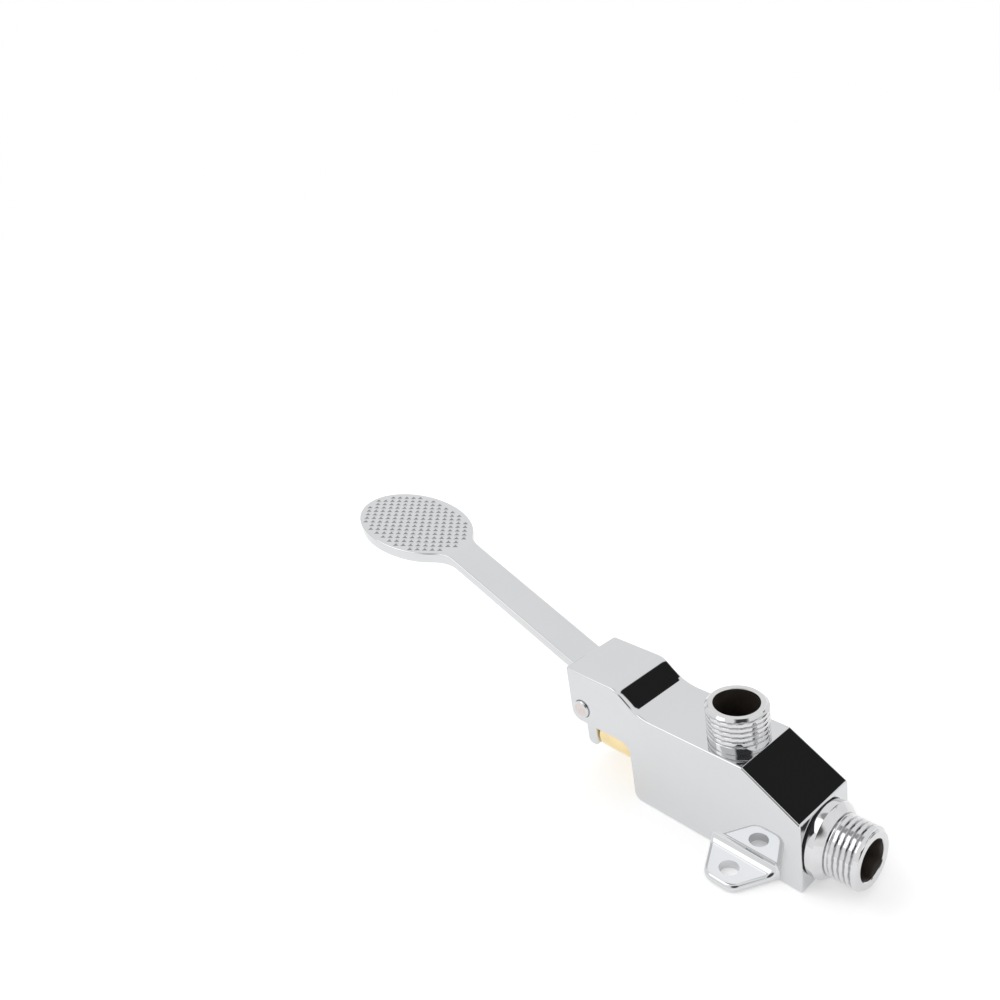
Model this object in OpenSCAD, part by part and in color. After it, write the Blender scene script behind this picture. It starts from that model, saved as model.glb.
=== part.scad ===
// Floor-mounted foot pedal tap valve.
// The pedal is a bell crank: its leg pushes a brass stem, which lifts a sprung seal off its seat.
// X runs along the valve towards the inlet, Y across it, Z up. The origin lies on the floor,
// midway between the two floor screw holes.

/* [Body] */
// Width of the body across its two flat sides
body_w = 27.5; // [26:0.5:34]
// Height of the deck that carries the outlet
deck_h = 38.2; // [36:0.2:42]
// Height of the inlet end face, below its long chamfer
end_h = 26.5; // [26:0.1:30]
// Length of the chamfer above the inlet end
chamfer_len = 20.5; // [16:0.5:20.5]
// Length of the base that stands on the floor
base_len = 70; // [66:1:90]
// Distance from the screw hole line to the inlet end face
inlet_face = 21.5; // [21:0.1:25]
// Length of the fork that carries the pedal, past the base
fork_len = 29.3; // [28:0.5:36]
// Height of the underside of the fork's cheeks
cheek_under = 23.5; // [22:0.1:25]
// Metal left in the fork's roof at its front edge
roof_wall = 2.75; // [1.5:0.05:4]
// Length of the ramp between the fork's roof and the deck
ramp_len = 10.6; // [9:0.2:16]
// Distance from the heel of the base to the top of the ramp
ramp_back = 3.8; // [2:0.2:8]

/* [Waterway] */
// Height of the inlet and stem axis above the floor
axis_h = 13.3; // [13.2:0.1:14]
// Diameter of the outlet bore
outlet_bore = 15.2; // [12:0.2:16]
// Distance from the inlet end face back to the outlet's axis
outlet_back = 31; // [30.5:0.5:34]
// Height of the outlet stub above the deck
outlet_len = 13; // [11:0.5:18]
// Diameter of the valve chamber
chamber_d = 18.8; // [18:0.1:19.4]
// Diameter of the port between the seat and the stem guide
port_d = 15; // [14.6:0.1:15.4]
// Wall between the outlet bore and the seat ring
seat_wall = 0.4; // [0.2:0.1:1]
// Outside diameter of the seat ring
seat_d = 16.2; // [15.8:0.1:17]
// Diameter of the hole in the seat ring
seat_bore = 11; // [10:0.1:12]
// Thickness of the seat ring
seat_t = 3; // [2:0.1:3.4]

/* [Threads] */
// Outside diameter of the pipe threads (G 1/2)
thread_d = 20.955; // [19:0.005:22]
// Pitch of the pipe threads
thread_pitch = 1.814; // [1.5:0.001:2.5]
// Depth of the pipe threads
thread_depth = 1.162; // [0.8:0.001:1.3]
// Length of the inlet thread
inlet_thread_len = 10.5; // [9:0.1:16]
// Chamfer at the free end of each thread
thread_chamfer = 1; // [0.6:0.1:1.2]

/* [Inlet nipple] */
// Diameter of the nipple's collar
collar_d = 26; // [24:0.2:26.2]
// Length of the collar
collar_len = 4.8; // [3:0.1:7]
// Depth that the nipple screws into the body
spigot_len = 9; // [7:0.2:9.2]
// Hexagon socket, across flats
hex_af = 12; // [10:0.5:13]
// Depth of the hexagon socket
hex_depth = 8; // [6:0.5:8]
// Diameter of the spring's pocket in the nipple
pocket_d = 14; // [13.6:0.1:15]
// Depth of the spring's pocket
pocket_depth = 12; // [11:0.2:13]
// Diameter of the waterway behind the hexagon socket
nipple_bore = 10; // [9:0.2:10.4]
// Thickness of the inlet gasket
gasket_t = 0.5; // [0.4:0.1:1.5]

/* [Floor ears] */
// Distance between the two floor screw holes
screw_span = 43.8; // [42:0.2:48]
// Diameter of the floor screw holes
screw_hole = 6.6; // [5:0.1:7]
// Thickness of the ears
ear_t = 3.2; // [2.5:0.1:4]
// Reach of each ear past its screw hole's centre
ear_reach = 6.8; // [6:0.1:9]
// Radius of the fillet between each ear and the body
ear_fillet = 3.6; // [2:0.1:4]

/* [Pedal] */
// Angle of the pedal arm above the floor, at rest
arm_angle = 20.7; // [18:0.1:23]
// Distance from the pivot to the bend at the pad, along the arm
arm_len = 90.3; // [70:0.1:110]
// Angle of the pad above the floor, at rest
pad_angle = 9.5; // [6:0.1:14]
// Distance from the bend to the pad's inner end
pad_root = 2.3; // [2:0.1:6]
// Length of the oval pad
pad_l = 65.2; // [56:0.2:72]
// Width of the oval pad
pad_w = 44.4; // [38:0.2:50]
// Width of the arm at the fork
arm_w_fork = 14.7; // [12:0.1:15.4]
// Width of the arm at the pad
arm_w_pad = 15.6; // [13:0.1:18]
// Angle round the oval at which the arm's flare meets it
flare_turn = 33; // [29:1:42]
// Thickness of the pad's rim
pad_t = 4.5; // [3.9:0.1:6]
// Thickness of the pad inside its rim
pad_web = 2.4; // [2:0.1:3.4]
// Width of the pad's rim
rim_w = 2; // [1.5:0.1:4]
// Thickness of the arm
arm_t = 3.6; // [3:0.1:3.8]
// Distance from the pivot's axis to the top of the arm
arm_top = 9.4; // [9:0.1:10.4]
// Spacing of the tread's rows along the pad
tread_step_l = 2.5; // [2.3:0.05:4]
// Spacing of the tread's rows across the pad
tread_step_w = 2.26; // [2.2:0.02:4]
// Width of each stud of the tread
tread_w = 2.1; // [1.6:0.1:2.1]
// Height of each stud of the tread
tread_h = 0.4; // [0.3:0.05:1]
// Distance from the pad's edge to the nearest stud's centre
tread_edge = 2.4; // [2:0.1:5]
// Width of the hub and of the leg below it
hub_w = 14.3; // [13:0.1:14.5]
// Radius of the pivot eye
eye_r = 6.5; // [6:0.1:7]
// Thickness of the leg that pushes the stem
leg_t = 5; // [4.5:0.1:6]
// Set-back of the leg's pushing face from the pivot's axis
leg_set = 1.5; // [1:0.1:2.5]
// Reach of the leg below the pivot's axis
leg_len = 22; // [20:0.1:23]
// Radius of the nose at the leg's lower end
nose_r = 2; // [1:0.1:2.2]
// Diameter of the bush between the hub and the pin
bush_d = 9; // [8.4:0.1:10]
// Diameter of the pivot pin
pin_d = 7; // [5:0.1:7]
// Distance from the fork's front to the pivot's axis
pin_back = 6.8; // [6.5:0.1:8]
// Height of the pivot's axis above the cheeks' underside
pin_up = 6.5; // [6:0.1:7.5]
// How far the pin stands out of each cheek
pin_proud = 1.2; // [0.4:0.1:1.5]

/* [Stem] */
// Diameter of the brass stem
stem_d = 14; // [12:0.1:14.2]
// Diameter of the stem's neck in the port
neck_d = 7; // [6:0.1:8]
// Diameter of the threaded tail that carries the seal
tail_d = 5; // [4:0.1:5.6]
// Bevel around the stem's pushed end
stem_bevel = 0.6; // [0.3:0.1:1]
// Thickness of the cord of the stem's O-rings
ring_cord = 1.6; // [1.4:0.1:2]
// Distance between the stem's two O-rings
ring_step = 5; // [4:0.2:7]
// Diameter of the seal washer
seal_d = 15.2; // [13:0.1:15.4]
// Thickness of the seal washer
seal_t = 2.5; // [2:0.1:3]
// Diameter of the holder around the seal washer
holder_d = 16.8; // [16.4:0.1:17.2]
// How far the seal washer stands out of its holder
seal_proud = 0.6; // [0.4:0.1:0.8]
// Thickness of the holder's web, behind the seal washer
holder_web = 2.1; // [1.5:0.1:2.4]
// Thickness of the lock washer
lock_t = 0.8; // [0.6:0.1:1.2]
// Diameter of the lock washer
lock_d = 8; // [7:0.1:9]
// Tail nut, across flats
nut_af = 8; // [7:0.1:8.4]
// Thickness of the tail nut
nut_t = 3.5; // [3:0.1:4]

/* [Spring] */
// Diameter of the spring's wire
wire_d = 1.2; // [1:0.1:1.3]
// Mean diameter of the spring's coil
coil_d = 11.8; // [11.4:0.1:12.2]
// Number of turns
coil_turns = 6.5; // [5:0.5:7]

/* [Clearances] */
// Gap between the leg and the stem's end at rest
push_gap = 0.2; // [0.1:0.05:0.5]
// Gap between the arm and the fork's roof at rest
roof_gap = 0.35; // [0.2:0.05:0.6]
// Gap between the hub and each cheek
cheek_gap = 0.7; // [0.5:0.05:0.9]
// Radial running clearance of the stem in its guide and of the hub on its pin
run_gap = 0.05; // [0.02:0.01:0.1]
// Radial gap of the nipple's spigot and of the rings on the tail
seat_gap = 0.05; // [0.02:0.01:0.1]

/* [Hidden] */
$fn = 96;

// Steps in each rounded corner of an outline
arc_steps = 8;
// Cuts run this far past the faces that they open
past = 1;

// Places along X
heel_x = inlet_face - base_len;
fork_x = heel_x - fork_len;
pin_x = fork_x + pin_back;
pin_z = cheek_under + pin_up;
outlet_x = inlet_face - outlet_back;
seat_x = outlet_x + outlet_bore / 2 + seat_wall + seat_t;
guide_end_x = outlet_x - outlet_bore / 2 - past;
ramp_top_x = heel_x - ramp_back;
chamfer_x = inlet_face - chamfer_len;

// The roof of the fork lies parallel to the resting arm, and its top is level
roof_from_pin = arm_top + roof_gap;
fork_h = pin_z + roof_from_pin / cos(arm_angle) + pin_back * tan(arm_angle) + roof_wall;
slot_w = hub_w + 2 * cheek_gap;
slot_back_x = pin_x + arm_top + 3;

// Places on the lever in side view: s along the arm or the pad, n above the pivot or above the pad's top
function arm_point(s, n) =
    [pin_x - s * cos(arm_angle) + n * sin(arm_angle), pin_z + s * sin(arm_angle) + n * cos(arm_angle)];
bend = arm_point(arm_len, arm_top);
function pad_point(s, n) =
    bend + [n * sin(pad_angle) - s * cos(pad_angle), n * cos(pad_angle) + s * sin(pad_angle)];
bend_turn = arm_angle - pad_angle;
bend_round = 16;
pad_mid = pad_root + pad_l / 2;
pad_end = pad_root + pad_l + past;
// Half length and centre of the pad's oval in plan
pad_half = pad_l / 2 * cos(pad_angle);
pad_out = pin_x - pad_point(pad_mid, 0)[0];
// Steps along each half of the pad's oval
oval_steps = 24;

// Stem and seal, from the leg to the tail nut
leg_face_x = pin_x - leg_set;
stem_tip_x = leg_face_x + push_gap;
neck_start_x = guide_end_x - past;
holder_x = seat_x + seal_proud;
web_x = seat_x + seal_t;
lock_x = web_x + holder_web;
nut_x = lock_x + lock_t;
tail_end_x = nut_x + nut_t + 0.8;
ring_rear_x = neck_start_x - 3 * ring_cord;
ring_front_x = ring_rear_x - ring_step;
ring_mean_r = stem_d / 2 + 0.01 - ring_cord / 2;
groove_w = ring_cord + 0.4;
groove_r = ring_mean_r - ring_cord / 2 - 0.02;

// Nipple, from its inner end to its free end
spigot_x = inlet_face - spigot_len;
pocket_x = spigot_x + pocket_depth;
collar_x = inlet_face + gasket_t;
inlet_thread_x = collar_x + collar_len;
inlet_end_x = inlet_thread_x + inlet_thread_len;

// Rounding of the body's outline
cheek_round = 5;
armpit_round = 4;
heel_round = 3;
ramp_round = 8;
ramp_foot_round = 16;
edge_round = 0.8;

// Half lengths of each ear along X, at the body's side and at its outer edge
ear_root_half = 13.5;
ear_tip_half = 5.5;
ear_round = 5;
ear_sink = 1.5;

// Points of an arc that rounds the corner at p, between its neighbours a and b
function unit(v) = v / norm(v);
function cross2(u, v) = u[0] * v[1] - u[1] * v[0];
function corner_arc(a, p, b, r) =
    let (u = unit(a - p), v = unit(b - p),
         half = acos(max(-1, min(1, u * v))) / 2,
         centre = p + unit(u + v) * r / sin(half),
         from = p + u * r / tan(half) - centre,
         sweep = (180 - 2 * half) * (cross2(u, v) > 0 ? -1 : 1))
    [for (i = [0:arc_steps])
        let (t = sweep * i / arc_steps)
        centre + [from[0] * cos(t) - from[1] * sin(t), from[0] * sin(t) + from[1] * cos(t)]];

// An outline of [x, y, radius] corners, each rounded where its radius is above 0
function rounded(corners) =
    let (n = len(corners), at = function (i) [corners[(i + n) % n][0], corners[(i + n) % n][1]])
    [for (i = [0:n - 1]) each corners[i][2] > 0
        ? corner_arc(at(i - 1), at(i), at(i + 1), corners[i][2])
        : [at(i)]];

// Places children, drawn with X along the valve and Y up, as a wall of width w centred on Y = 0
module across(w) {
    rotate([90, 0, 0]) linear_extrude(w, center = true) children();
}

// A round bar along X at the stem's height
module bar_x(x0, x1, d) {
    translate([x0, 0, axis_h]) rotate([0, 90, 0]) cylinder(h = x1 - x0, d = d);
}

// A ring along X at the stem's height
module ring_x(x0, x1, d_out, d_in) {
    difference() {
        bar_x(x0, x1, d_out);
        bar_x(x0 - past, x1 + past, d_in);
    }
}

// A threaded stub along Z, of V grooves with flat crests, chamfered at its free end
module threaded_stub(len) {
    r = thread_d / 2;
    root_r = r - thread_depth;
    crest = thread_pitch / 8;
    turns = floor((len - 2 * thread_chamfer) / thread_pitch);
    first = len - thread_chamfer - crest - turns * thread_pitch;
    grooves = [for (i = [0:turns - 1]) let (z = first + i * thread_pitch)
        each [[r, z + crest], [root_r, z + (thread_pitch + crest) / 2], [r, z + thread_pitch]]];
    rotate_extrude()
        polygon(concat([[0, 0], [r, 0]], grooves,
                       [[r, len - thread_chamfer], [r - thread_chamfer, len], [0, len]]));
}

// Side view of the body, fork included
module body_outline() {
    polygon(rounded([
        [heel_x, 0, heel_round],
        [heel_x, cheek_under, armpit_round],
        [fork_x, cheek_under, cheek_round],
        [fork_x, fork_h, edge_round],
        [ramp_top_x, fork_h, ramp_round],
        [ramp_top_x + ramp_len, deck_h, ramp_foot_round],
        [chamfer_x, deck_h, edge_round],
        [inlet_face, end_h, edge_round],
        [inlet_face, 0, edge_round]]));
}

// Side view of the slot between the cheeks, under its sloping roof
module slot_outline() {
    roof_z = function (x) pin_z + roof_from_pin / cos(arm_angle) - (x - pin_x) * tan(arm_angle);
    front_x = fork_x - past;
    polygon([[front_x, -past], [front_x, roof_z(front_x)],
             [slot_back_x, roof_z(slot_back_x)], [slot_back_x, -past]]);
}

// Plan of the ear on the -Y side
module ear_plan() {
    tip_y = -screw_span / 2 - ear_reach;
    side_y = -body_w / 2;
    root_half = ear_root_half + ear_sink * (ear_root_half - ear_tip_half) / (side_y - tip_y);
    polygon(rounded([
        [-root_half, side_y + ear_sink, 0],
        [-ear_tip_half, tip_y, ear_round],
        [ear_tip_half, tip_y, ear_round],
        [root_half, side_y + ear_sink, 0]]));
}

// End view of the fillet where the ear meets the body
module ear_fillet_section() {
    side_y = -body_w / 2;
    difference() {
        translate([side_y - ear_fillet, 0]) square([ear_fillet + ear_sink, ear_t + ear_fillet]);
        translate([side_y - ear_fillet, ear_t + ear_fillet]) circle(r = ear_fillet);
    }
}

// One floor ear with its screw hole
module ear() {
    difference() {
        union() {
            linear_extrude(ear_t) ear_plan();
            intersection() {
                linear_extrude(ear_t + ear_fillet) ear_plan();
                rotate([90, 0, 90]) linear_extrude(4 * screw_span, center = true) ear_fillet_section();
            }
        }
        translate([0, -screw_span / 2, -past]) cylinder(h = ear_t + ear_fillet + 2 * past, d = screw_hole);
    }
}

module valve_body() {
    color("gainsboro")
    difference() {
        union() {
            across(body_w) body_outline();
            translate([outlet_x, 0, deck_h]) threaded_stub(outlet_len);
            ear();
            mirror([0, 1, 0]) ear();
        }
        across(slot_w) slot_outline_above_heel();
        translate([pin_x, 0, pin_z]) rotate([90, 0, 0])
            cylinder(h = body_w + 2 * past, d = pin_d, center = true);
        bar_x(heel_x - past, guide_end_x + past, stem_d + 2 * run_gap);
        bar_x(guide_end_x, seat_x, port_d);
        bar_x(seat_x - seat_t, seat_x + past, seat_d + 2 * seat_gap);
        bar_x(seat_x, inlet_face + past, chamber_d);
        translate([outlet_x, 0, axis_h]) cylinder(h = deck_h + outlet_len, d = outlet_bore);
    }
}

// The slot stops short of the base's heel
module slot_outline_above_heel() {
    intersection() {
        slot_outline();
        translate([fork_x - 2 * past, -2 * past]) square([heel_x - fork_x, fork_h]);
    }
}

// Side view of the lever's hub: the eye, the web up to the arm, and the leg with its nose
module hub_outline() {
    leg_bottom = pin_z - leg_len;
    leg_back_x = leg_face_x - leg_t;
    mid_n = arm_top - arm_t / 2;
    foot = asin(leg_set / eye_r);
    turn = 135 + foot;
    eye = [for (i = [0:2 * arc_steps])
        let (t = 45 - turn * i / (2 * arc_steps))
        [pin_x + eye_r * cos(t), pin_z + eye_r * sin(t)]];
    corners = rounded([
        [leg_face_x, leg_bottom, nose_r],
        [leg_back_x, leg_bottom, nose_r],
        [leg_back_x, pin_z + mid_n / cos(arm_angle) + (pin_x - leg_back_x) * tan(arm_angle), 0],
        [pin_x + mid_n * sin(arm_angle), pin_z + mid_n * cos(arm_angle), 0],
        [leg_face_x, pin_z, 0]]);
    polygon(concat([for (i = [0:len(corners) - 2]) corners[i]], eye));
}

// Side view of the arm and the pad: one plate, bent where the pad begins
module plate_outline() {
    under = (pad_t - arm_t / cos(bend_turn)) / tan(bend_turn);
    corner = function (p, r) [p[0], p[1], r];
    polygon(rounded([
        corner(arm_point(0, arm_top), 0),
        corner(bend, bend_round),
        corner(pad_point(pad_end, 0), 0),
        corner(pad_point(pad_end, -pad_t), 0),
        corner(pad_point(-under, -pad_t), 0),
        corner(arm_point(0, arm_top - arm_t), 0)]));
}

// Plan of the arm and the pad: the arm's sides flare into the oval in arcs that are tangent to both
module plate_plan() {
    half = arm_w_pad / 2;
    oval = function (t) [pad_out - pad_half * cos(t), pad_w / 2 * sin(t)];
    outward = unit([-pad_w / 2 * cos(flare_turn), pad_half * sin(flare_turn)]);
    touch = oval(flare_turn);
    flare_r = (touch[1] - half) / (1 - outward[1]);
    centre = touch + flare_r * outward;
    last = atan2(-outward[1], -outward[0]);
    flare = [for (i = [0:arc_steps])
        let (t = -90 + (last + 90) * i / arc_steps)
        centre + flare_r * [cos(t), sin(t)]];
    rim = [for (i = [1:oval_steps - 1]) oval(flare_turn + (180 - flare_turn) * i / oval_steps)];
    side = concat([[-arm_top, arm_w_fork / 2]], flare, rim);
    n = len(side) - 1;
    translate([pin_x, 0]) mirror([1, 0])
        polygon(concat(side, [oval(180)], [for (i = [n:-1:0]) [side[i][0], -side[i][1]]]));
}

// Plan of the pad inside its rim
module recess_plan() {
    steps = 2 * oval_steps;
    translate([pin_x - pad_out, 0])
        polygon([for (i = [0:steps - 1]) let (t = 360 * i / steps)
            [(pad_half - rim_w) * cos(t), (pad_w / 2 - rim_w) * sin(t)]]);
}

// Side view of the hollow under the pad
module recess_outline() {
    polygon([pad_point(0, -pad_web), pad_point(pad_end, -pad_web),
             pad_point(pad_end, -pad_t - pad_l), pad_point(0, -pad_t - pad_l)]);
}

// Rows of pyramid studs in a diamond lattice over the pad's top
module tread() {
    tip_w = 0.3;
    sink = 0.15;
    root_w = tread_w + sink * (tread_w - tip_w) / tread_h;
    rows = ceil(pad_l / 2 / tread_step_l);
    translate([bend[0], 0, bend[1]]) rotate([0, 180 + pad_angle, 0]) mirror([0, 0, 1])
        for (i = [-rows:rows], j = [-rows:rows]) {
            place = [i * tread_step_l, j * tread_step_w];
            from_edge = norm([place[0] / (pad_l / 2 - tread_edge), place[1] / (pad_w / 2 - tread_edge)]);
            if ((i + j) % 2 == 0 && from_edge < 1)
                translate([pad_mid + place[0], place[1], -sink]) rotate(45)
                    cylinder(h = tread_h + sink, d1 = root_w * sqrt(2), d2 = tip_w * sqrt(2), $fn = 4);
        }
}

module pedal_lever() {
    color("gainsboro")
    difference() {
        union() {
            across(hub_w) hub_outline();
            pedal_plate();
            tread();
        }
        translate([pin_x, 0, pin_z]) rotate([90, 0, 0])
            cylinder(h = hub_w + 2 * past, d = bush_d, center = true);
    }
}

// The arm and the pad, with the hollow under the pad
module pedal_plate() {
    top = pad_point(pad_end, 0)[1] + past;
    difference() {
        intersection() {
            across(pad_w + 2 * past) plate_outline();
            linear_extrude(top) plate_plan();
        }
        intersection() {
            across(pad_w) recess_outline();
            linear_extrude(top) recess_plan();
        }
    }
}

module lever_bush() {
    color("tan")
    translate([pin_x, 0, pin_z]) rotate([90, 0, 0])
        difference() {
            cylinder(h = hub_w, d = bush_d, center = true);
            cylinder(h = hub_w + 2 * past, d = pin_d + 2 * run_gap, center = true);
        }
}

module pivot_pin() {
    bevel = 0.5;
    len = body_w + 2 * pin_proud;
    color("lightgray")
    translate([pin_x, len / 2, pin_z]) rotate([90, 0, 0]) {
        cylinder(h = bevel, d1 = pin_d - 2 * bevel, d2 = pin_d);
        translate([0, 0, bevel]) cylinder(h = len - 2 * bevel, d = pin_d);
        translate([0, 0, len - bevel]) cylinder(h = bevel, d1 = pin_d, d2 = pin_d - 2 * bevel);
    }
}

module plunger() {
    color("goldenrod")
    difference() {
        union() {
            translate([stem_tip_x, 0, axis_h]) rotate([0, 90, 0])
                cylinder(h = stem_bevel, d1 = stem_d - 2 * stem_bevel, d2 = stem_d);
            bar_x(stem_tip_x + stem_bevel, neck_start_x, stem_d);
            bar_x(neck_start_x - past, seat_x, neck_d);
            bar_x(seat_x - past, tail_end_x, tail_d);
        }
        for (x = [ring_front_x, ring_rear_x])
            ring_x(x - groove_w / 2, x + groove_w / 2, stem_d + past, 2 * groove_r);
    }
}

module o_ring(x) {
    color("dimgray")
    translate([x, 0, axis_h]) rotate([0, 90, 0])
        rotate_extrude() translate([ring_mean_r, 0]) circle(d = ring_cord);
}

module valve_seat() {
    color("goldenrod") ring_x(seat_x - seat_t, seat_x, seat_d, seat_bore);
}

module seal_washer() {
    color("black") ring_x(seat_x, web_x, seal_d, tail_d + 2 * seat_gap);
}

module seal_holder() {
    color("goldenrod")
    difference() {
        bar_x(holder_x, lock_x, holder_d);
        bar_x(holder_x - past, web_x, seal_d + 2 * seat_gap);
        bar_x(holder_x, lock_x + past, tail_d + 2 * seat_gap);
    }
}

module lock_washer() {
    color("silver") ring_x(lock_x, nut_x, lock_d, tail_d + 2 * seat_gap);
}

module stem_nut() {
    color("goldenrod")
    difference() {
        translate([nut_x, 0, axis_h]) rotate([0, 90, 0])
            cylinder(h = nut_t, d = nut_af / cos(30), $fn = 6);
        bar_x(nut_x - past, nut_x + nut_t + past, tail_d + 2 * seat_gap);
    }
}

// The spring is one helical tube between the seal holder and the bottom of the nipple's pocket
spring_gap = 0.1;
spring_sides = 6;
rings_per_turn = 12;
spring_rings = ceil(coil_turns * rings_per_turn);
spring_run = pocket_x - lock_x - 2 * spring_gap - wire_d;
spring_pitch = spring_run / coil_turns;
function spring_centre(i) =
    let (t = i / spring_rings, a = 360 * coil_turns * t)
    [lock_x + spring_gap + wire_d / 2 + spring_run * t, coil_d / 2 * cos(a), axis_h + coil_d / 2 * sin(a)];
function spring_ring(i) =
    let (a = 360 * coil_turns * i / spring_rings, out = [0, cos(a), sin(a)], c = spring_centre(i))
    [for (k = [0:spring_sides - 1])
        let (b = 360 * k / spring_sides)
        c + wire_d / 2 * (out * cos(b) + [1, 0, 0] * sin(b))];

// Least gap between neighbouring turns of the spring, measured on its centre points
spring_self_gap = min([for (i = [0:spring_rings - rings_per_turn])
    norm(spring_centre(i + rings_per_turn) - spring_centre(i)) - wire_d]);
echo(spring_self_gap = spring_self_gap);

module return_spring() {
    n = spring_sides;
    points = [for (i = [0:spring_rings]) each spring_ring(i)];
    sides = [for (i = [0:spring_rings - 1], k = [0:n - 1])
        let (a = i * n + k, b = i * n + (k + 1) % n)
        each [[a, b, a + n], [b, b + n, a + n]]];
    first_end = [for (k = [1:n - 2]) [0, k + 1, k]];
    last = spring_rings * n;
    last_end = [for (k = [1:n - 2]) [last, last + k, last + k + 1]];
    color("silver") polyhedron(points, concat(sides, first_end, last_end));
}

module inlet_nipple() {
    bevel = collar_len / 6;
    root_d = thread_d - 2 * thread_depth;
    color("gainsboro")
    difference() {
        union() {
            bar_x(spigot_x, collar_x + past, chamber_d - 2 * seat_gap);
            bar_x(collar_x, inlet_thread_x - bevel, collar_d);
            translate([inlet_thread_x - bevel, 0, axis_h]) rotate([0, 90, 0])
                cylinder(h = bevel, d1 = collar_d, d2 = collar_d - 2 * bevel);
            bar_x(inlet_thread_x - past, inlet_thread_x + past, root_d);
            translate([inlet_thread_x, 0, axis_h]) rotate([0, 90, 0]) threaded_stub(inlet_thread_len);
        }
        bar_x(spigot_x - past, pocket_x, pocket_d);
        bar_x(spigot_x, inlet_end_x, nipple_bore);
        translate([inlet_end_x - hex_depth, 0, axis_h]) rotate([0, 90, 0])
            cylinder(h = hex_depth + past, d = hex_af / cos(30), $fn = 6);
    }
}

module inlet_gasket() {
    color("black") ring_x(inlet_face, collar_x, collar_d - 1, chamber_d + 2 * seat_gap);
}

valve_body();
inlet_nipple();
inlet_gasket();
valve_seat();
pedal_lever();
lever_bush();
pivot_pin();
plunger();
o_ring(ring_front_x);  // o_ring_front
o_ring(ring_rear_x);  // o_ring_rear
seal_washer();
seal_holder();
lock_washer();
stem_nut();
return_spring();
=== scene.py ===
"""Foot pedal tap valve: the chromed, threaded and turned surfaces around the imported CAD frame.

Lengths are in millimetres in the row frame, unless a comment says metres, and become metres in mesh_object().
"""
import math

import bmesh
import bpy
from mathutils import Matrix, Vector


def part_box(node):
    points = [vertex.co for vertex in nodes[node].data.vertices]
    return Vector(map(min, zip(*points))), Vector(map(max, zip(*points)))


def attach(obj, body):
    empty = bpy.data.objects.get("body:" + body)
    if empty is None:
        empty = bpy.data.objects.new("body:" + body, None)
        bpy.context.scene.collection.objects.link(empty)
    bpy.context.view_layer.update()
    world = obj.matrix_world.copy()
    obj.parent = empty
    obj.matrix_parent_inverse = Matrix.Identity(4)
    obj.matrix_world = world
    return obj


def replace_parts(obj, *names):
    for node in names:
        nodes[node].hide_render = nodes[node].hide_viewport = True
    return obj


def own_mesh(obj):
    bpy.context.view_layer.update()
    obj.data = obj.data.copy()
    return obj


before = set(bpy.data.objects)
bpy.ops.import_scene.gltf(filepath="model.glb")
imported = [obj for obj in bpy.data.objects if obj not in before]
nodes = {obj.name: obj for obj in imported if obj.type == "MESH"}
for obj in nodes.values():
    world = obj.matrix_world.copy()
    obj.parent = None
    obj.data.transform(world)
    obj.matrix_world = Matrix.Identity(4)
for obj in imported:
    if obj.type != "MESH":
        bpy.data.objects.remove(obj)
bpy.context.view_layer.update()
scene = bpy.context.scene
scene.view_settings.view_transform = "Standard"

MM = 0.001

# Body. X runs from the fork to the inlet, Y across, Z up from the floor
BODY_W = 27.5
HEEL_X = -48.5
FORK_X = -77.8
INLET_X = 21.5
CHEEK_UNDER = 23.5
FORK_H = 45.74
DECK_H = 38.2
END_H = 26.5
RAMP_TOP_X = -52.3
RAMP_FOOT_X = -41.7
CHAMFER_X = 1.0
OUTLET_X = -9.5
OUTLET_BORE_R = 7.6
OUTLET_TOP = 51.2
AXIS_H = 13.3
SEAT_X = 1.5
CHAMBER_R = 9.4
PORT_R = 7.5
GUIDE_R = 7.05
GUIDE_END_X = -18.1
EDGE_R = 0.7
HEEL_R = 3.0
CHEEK_ROOT_R = 4.0
CHEEK_R = 5.0
RAMP_TOP_R = 8.0
RAMP_FOOT_R = 16.0
CHAMFER_R = 0.8
FORK_CORNER_R = 1.5

# Soft sides of the ramp: their width, their reach along X from the ramp's middle, and how far they fall
RAMP_SIDE = 3.2
RAMP_REACH = 9.0
RAMP_FALL = 0.45

# Cutters: how far they pass the face they open, half their length across the part, the tops of the outlet's
# bore and of the plans, and the depth of the cut under the pad
OVERCUT = 2.0
CUT_HALF = 20
CUT_TOP = 60
PLAN_TOP = 120
RECESS_CUT = 40

# Ears
SCREW_Y = 21.9
SCREW_R = 3.3
EAR_T = 3.2
EAR_TIP_Y = 28.7
EAR_ROOT_HALF = 13.5
EAR_TIP_HALF = 5.5
EAR_CORNER_R = 5.0
EAR_FILLET = 3.6
EAR_EDGE_R = 1.5
EAR_SINK = 2.2
EAR_CUT_TOP = 14

# Pedal. The arm's and the pad's angles are at rest
PIN_X = -71.0
PIN_Z = 30.0
PIN_R = 3.5
PIN_PROUD = 1.2
PIN_HOLE_GAP = 0.2
PIN_RIM = 0.8
ARM_ANGLE = math.radians(20.7)
ARM_TOP = 9.4
ARM_T = 3.6
ARM_LEN = 90.3
ARM_FORK_HALF = 7.35
ARM_PAD_HALF = 7.8
FLARE_TURN = math.radians(33)
PAD_ANGLE = math.radians(9.5)
PAD_ROOT = 2.3
PAD_L = 65.2
PAD_W = 44.4
PAD_T = 4.5
PAD_WEB = 2.4
RIM_W = 2.0
BEND_R = 16.0
BEND_UNDER_R = 10
PLATE_EDGE_R = 0.6
HUB_EDGE_R = 0.5
HUB_HALF = 7.15
EYE_R = 6.5
LEG_FACE = 1.5
LEG_T = 5.0
LEG_LEN = 22.0
NOSE_R = 2.0
BUSH_R = 4.5
SLOT_HALF = 7.85
ROOF_GAP = 0.35
SLOT_BACK_X = -58.6

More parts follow.
